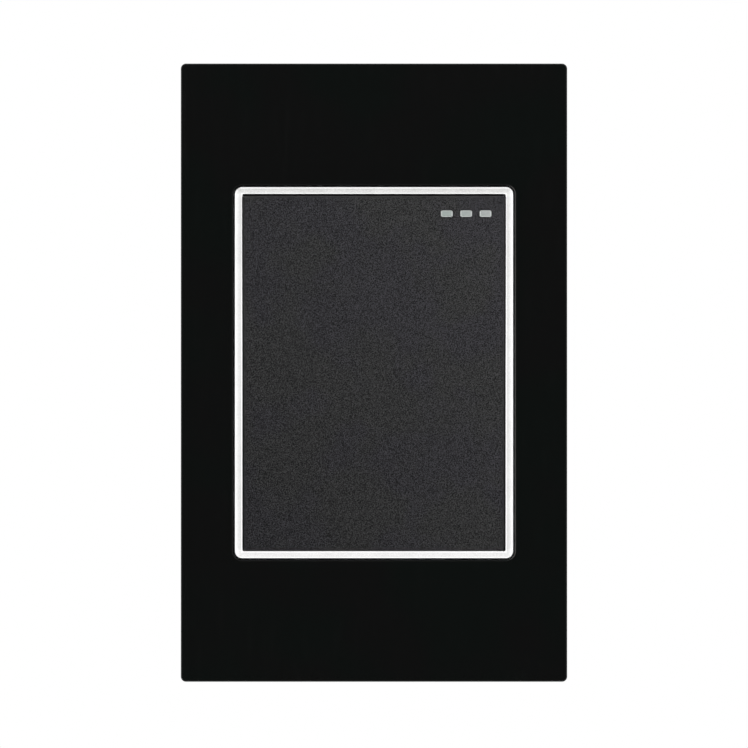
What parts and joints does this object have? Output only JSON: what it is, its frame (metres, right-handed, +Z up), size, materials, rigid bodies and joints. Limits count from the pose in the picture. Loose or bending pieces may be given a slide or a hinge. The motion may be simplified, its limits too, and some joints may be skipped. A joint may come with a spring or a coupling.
{
  "type": "wall switch",
  "caption": "Rectangular glossy black wall plate with a silver trim frame round a large graphite rocker, and a two-way switch mechanism behind it.",
  "frame": {"origin": "on the wall plane, midway between the two box screw holes: the centre of the mounting frame's rear face", "axes": "+X to the right as seen from the room, +Y into the wall, +Z up"},
  "size_m": [0.075, 0.0328, 0.12],
  "materials": {
    "panel_black": "polished gloss black",
    "carrier_black": "moulded, fine matt",
    "foam_tape": "closed cell foam",
    "trim_silver": "satin anodised",
    "rocker_graphite": "metallic graphite, fine sparkle",
    "window_pale": "translucent pale green",
    "lever_grey": "moulded, fine matt",
    "plunger_white": "natural low friction plastic",
    "spring_steel": "drawn wire",
    "frame_zinc": "zinc plated pressed steel",
    "screw_zinc": "zinc plated",
    "housing_light": "moulded heat resistant plastic",
    "housing_grey": "moulded heat resistant plastic",
    "strip_brass": "rolled brass",
    "contact_silver": "silver alloy button"
  },
  "bodies": {
    "base": {"face_plate": "panel_black", "bonding_tape": "foam_tape", "plate_carrier": "carrier_black", "trim_frame": "trim_silver", "mounting_frame": "frame_zinc", "frame_screws": "screw_zinc", "housing_cover": "housing_light", "housing_base": "housing_grey", "housing_screws": "screw_zinc", "common_terminal": "strip_brass", "upper_terminal": "strip_brass", "lower_terminal": "strip_brass", "fixed_contacts": "contact_silver", "terminal_clamps": "screw_zinc", "terminal_screws": "screw_zinc"},
    "rocker": {"rocker_cover": "rocker_graphite", "window_insert": "window_pale", "rocker_lever": "lever_grey", "plunger_spring": "spring_steel"},
    "plunger": {"plunger": "plunger_white"},
    "contact_arm": {"contact_arm": "strip_brass", "moving_contacts": "contact_silver"}
  },
  "joints": [
    {"name": "rocker_tilt", "type": "hinge", "parent": "base", "child": "rocker", "pos_m": [0, -0.0054, 0], "axis": [-1, 0, 0], "range_deg": [0, 4]},
    {"name": "plunger_slide", "type": "slide", "parent": "rocker", "child": "plunger", "axis": [0, -0.9994, -0.0349], "range_m": [0, 0.0005], "stiffness_N_per_m": 300, "springref_m": -0.002, "deforming": ["plunger_spring"]},
    {"name": "contact_tilt", "type": "hinge", "parent": "base", "child": "contact_arm", "pos_m": [0, 0.0106, 0], "axis": [-1, 0, 0], "range_deg": [-12, 0]}
  ],
  "couplings": [
    {"joint": "contact_tilt", "follows": "rocker_tilt", "ratio": -3}
  ]
}
